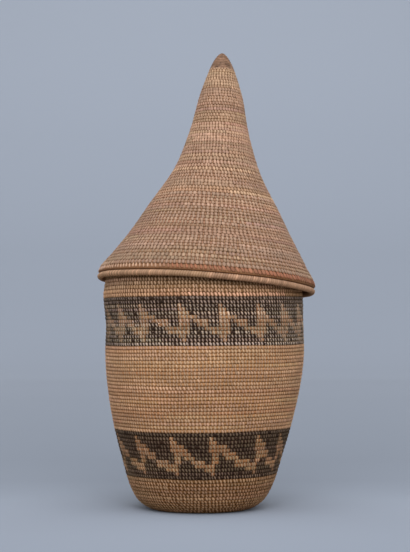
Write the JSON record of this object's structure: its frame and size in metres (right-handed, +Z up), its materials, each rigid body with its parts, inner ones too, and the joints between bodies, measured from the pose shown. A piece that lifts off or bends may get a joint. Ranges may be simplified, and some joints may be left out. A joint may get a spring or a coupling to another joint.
{
  "type": "lidded coiled basket",
  "caption": "Tall round coiled basket with zigzag bands and a pointed conical lid that lifts off, for keeping small things.",
  "frame": {"origin": "middle of the flat underside that the basket stands on", "axes": "+Z up through the middle of the mouth, -Y towards the front, +X to the right; the lid leans towards +X and +Y"},
  "size_m": [0.142, 0.142, 0.2999],
  "materials": {
    "natural_strip": "matte",
    "dyed_black_strip": "matte",
    "rosy_strip": "matte",
    "russet_strip": "matte",
    "tip_brown_strip": "matte"
  },
  "bodies": {
    "basket": {"base_disc": "natural_strip", "foot_wall": "natural_strip", "lower_zigzag_band": "dyed_black_strip", "belly_wall": "natural_strip", "upper_zigzag_band": "dyed_black_strip", "neck_wall": "natural_strip", "mouth_cord": "natural_strip"},
    "lid": {"lid_rim_cord": "natural_strip", "lid_border_row": "russet_strip", "lid_skirt": "rosy_strip", "lid_shoulder": "natural_strip", "lid_spire": "natural_strip", "lid_tip": "tip_brown_strip"}
  },
  "joints": [
    {"name": "lid_lift", "type": "slide", "parent": "basket", "child": "lid", "axis": [0, 0, 1], "range_m": [0, 0.17]}
  ]
}
